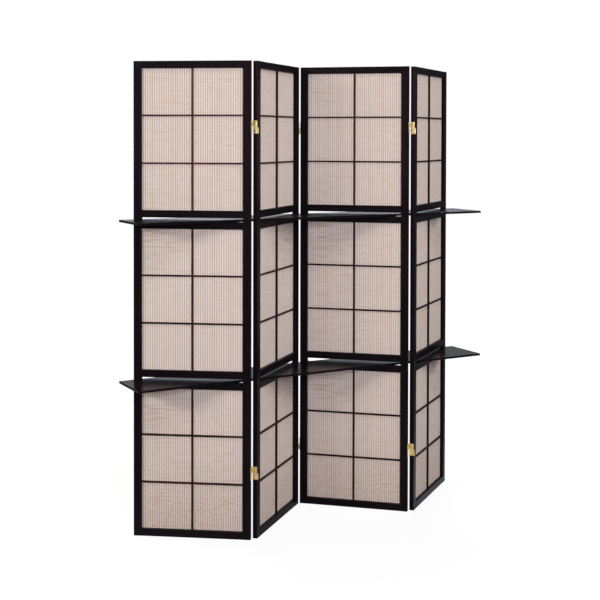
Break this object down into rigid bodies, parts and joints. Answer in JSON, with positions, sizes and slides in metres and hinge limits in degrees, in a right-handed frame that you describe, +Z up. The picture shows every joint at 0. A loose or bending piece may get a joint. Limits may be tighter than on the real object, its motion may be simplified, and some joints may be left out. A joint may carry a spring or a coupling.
{
  "type": "room divider",
  "caption": "Folding room divider of hinged lattice panels backed with woven fabric, standing in a zigzag, with long shelves threaded through slots in the panels.",
  "frame": {"origin": "on the floor, under the middle of the whole divider as it stands opened", "axes": "+X along the shelves to the right, -Y towards the front, +Z up"},
  "size_m": [1.5236, 0.3258, 1.784],
  "materials": {
    "frame_wood": "espresso satin lacquer",
    "lattice_wood": "dark brown satin lacquer",
    "shelf_wood": "espresso semi-gloss lacquer",
    "panel_fabric": "woven with upright ribs",
    "hinge_brass": "bright plated",
    "screw_brass": "plated, darkened"
  },
  "bodies": {
    "panel_1": {"panel1_left_stile": "frame_wood", "panel1_right_stile": "frame_wood", "panel1_top_rail": "frame_wood", "panel1_upper_slot_rails": "frame_wood", "panel1_lower_slot_rails": "frame_wood", "panel1_bottom_rail": "frame_wood", "panel1_upright_muntins": "lattice_wood", "panel1_cross_muntins": "lattice_wood", "panel1_fabric": "panel_fabric", "panel1_fabric_beads": "frame_wood", "panel1_hinge_screws": "screw_brass", "hinge12_left_leaves": "hinge_brass"},
    "panel_2": {"panel2_left_stile": "frame_wood", "panel2_right_stile": "frame_wood", "panel2_top_rail": "frame_wood", "panel2_upper_slot_rails": "frame_wood", "panel2_lower_slot_rails": "frame_wood", "panel2_bottom_rail": "frame_wood", "panel2_upright_muntins": "lattice_wood", "panel2_cross_muntins": "lattice_wood", "panel2_fabric": "panel_fabric", "panel2_fabric_beads": "frame_wood", "panel2_hinge_screws": "screw_brass", "hinge12_right_leaves": "hinge_brass", "hinge12_link_plates": "hinge_brass", "hinge12_pins": "hinge_brass", "hinge23_left_leaves": "hinge_brass", "hinge23_link_plates": "hinge_brass", "hinge23_pins": "hinge_brass"},
    "panel_3": {"panel3_left_stile": "frame_wood", "panel3_right_stile": "frame_wood", "panel3_top_rail": "frame_wood", "panel3_upper_slot_rails": "frame_wood", "panel3_lower_slot_rails": "frame_wood", "panel3_bottom_rail": "frame_wood", "panel3_upright_muntins": "lattice_wood", "panel3_cross_muntins": "lattice_wood", "panel3_fabric": "panel_fabric", "panel3_fabric_beads": "frame_wood", "panel3_hinge_screws": "screw_brass", "hinge23_right_leaves": "hinge_brass", "hinge34_left_leaves": "hinge_brass"},
    "panel_4": {"panel4_left_stile": "frame_wood", "panel4_right_stile": "frame_wood", "panel4_top_rail": "frame_wood", "panel4_upper_slot_rails": "frame_wood", "panel4_lower_slot_rails": "frame_wood", "panel4_bottom_rail": "frame_wood", "panel4_upright_muntins": "lattice_wood", "panel4_cross_muntins": "lattice_wood", "panel4_fabric": "panel_fabric", "panel4_fabric_beads": "frame_wood", "panel4_hinge_screws": "screw_brass", "hinge34_right_leaves": "hinge_brass", "hinge34_link_plates": "hinge_brass", "hinge34_pins": "hinge_brass"},
    "lower_shelf": {"lower_shelf": "shelf_wood"},
    "upper_shelf": {"upper_shelf": "shelf_wood"}
  },
  "joints": [
    {"name": "fold_2_3", "type": "hinge", "parent": "panel_2", "child": "panel_3", "pos_m": [0.03527, 0.14442, 0], "axis": [0, 0, -1], "range_deg": [-2, 95]},
    {"name": "fold_1_2", "type": "hinge", "parent": "panel_2", "child": "panel_1", "pos_m": [-0.32063, -0.1337, 0], "axis": [0, 0, -1], "range_deg": [-2, 95]},
    {"name": "fold_3_4", "type": "hinge", "parent": "panel_3", "child": "panel_4", "pos_m": [0.3786, -0.1435, 0], "axis": [0, 0, 1], "range_deg": [-2, 95]},
    {"name": "shelf_turn", "type": "hinge", "parent": "panel_2", "child": "lower_shelf", "pos_m": [-0.14268, 0.00536, 0.58467], "axis": [0, 0, -1], "range_deg": [-1, 47.5]},
    {"name": "upper_shelf_slide", "type": "slide", "parent": "lower_shelf", "child": "upper_shelf", "axis": [-1, 0, 0], "range_m": [0, 1.48]}
  ],
  "couplings": [
    {"joint": "fold_1_2", "follows": "fold_2_3", "ratio": 1},
    {"joint": "fold_3_4", "follows": "fold_2_3", "ratio": 1},
    {"joint": "shelf_turn", "follows": "fold_2_3", "ratio": 0.5}
  ]
}
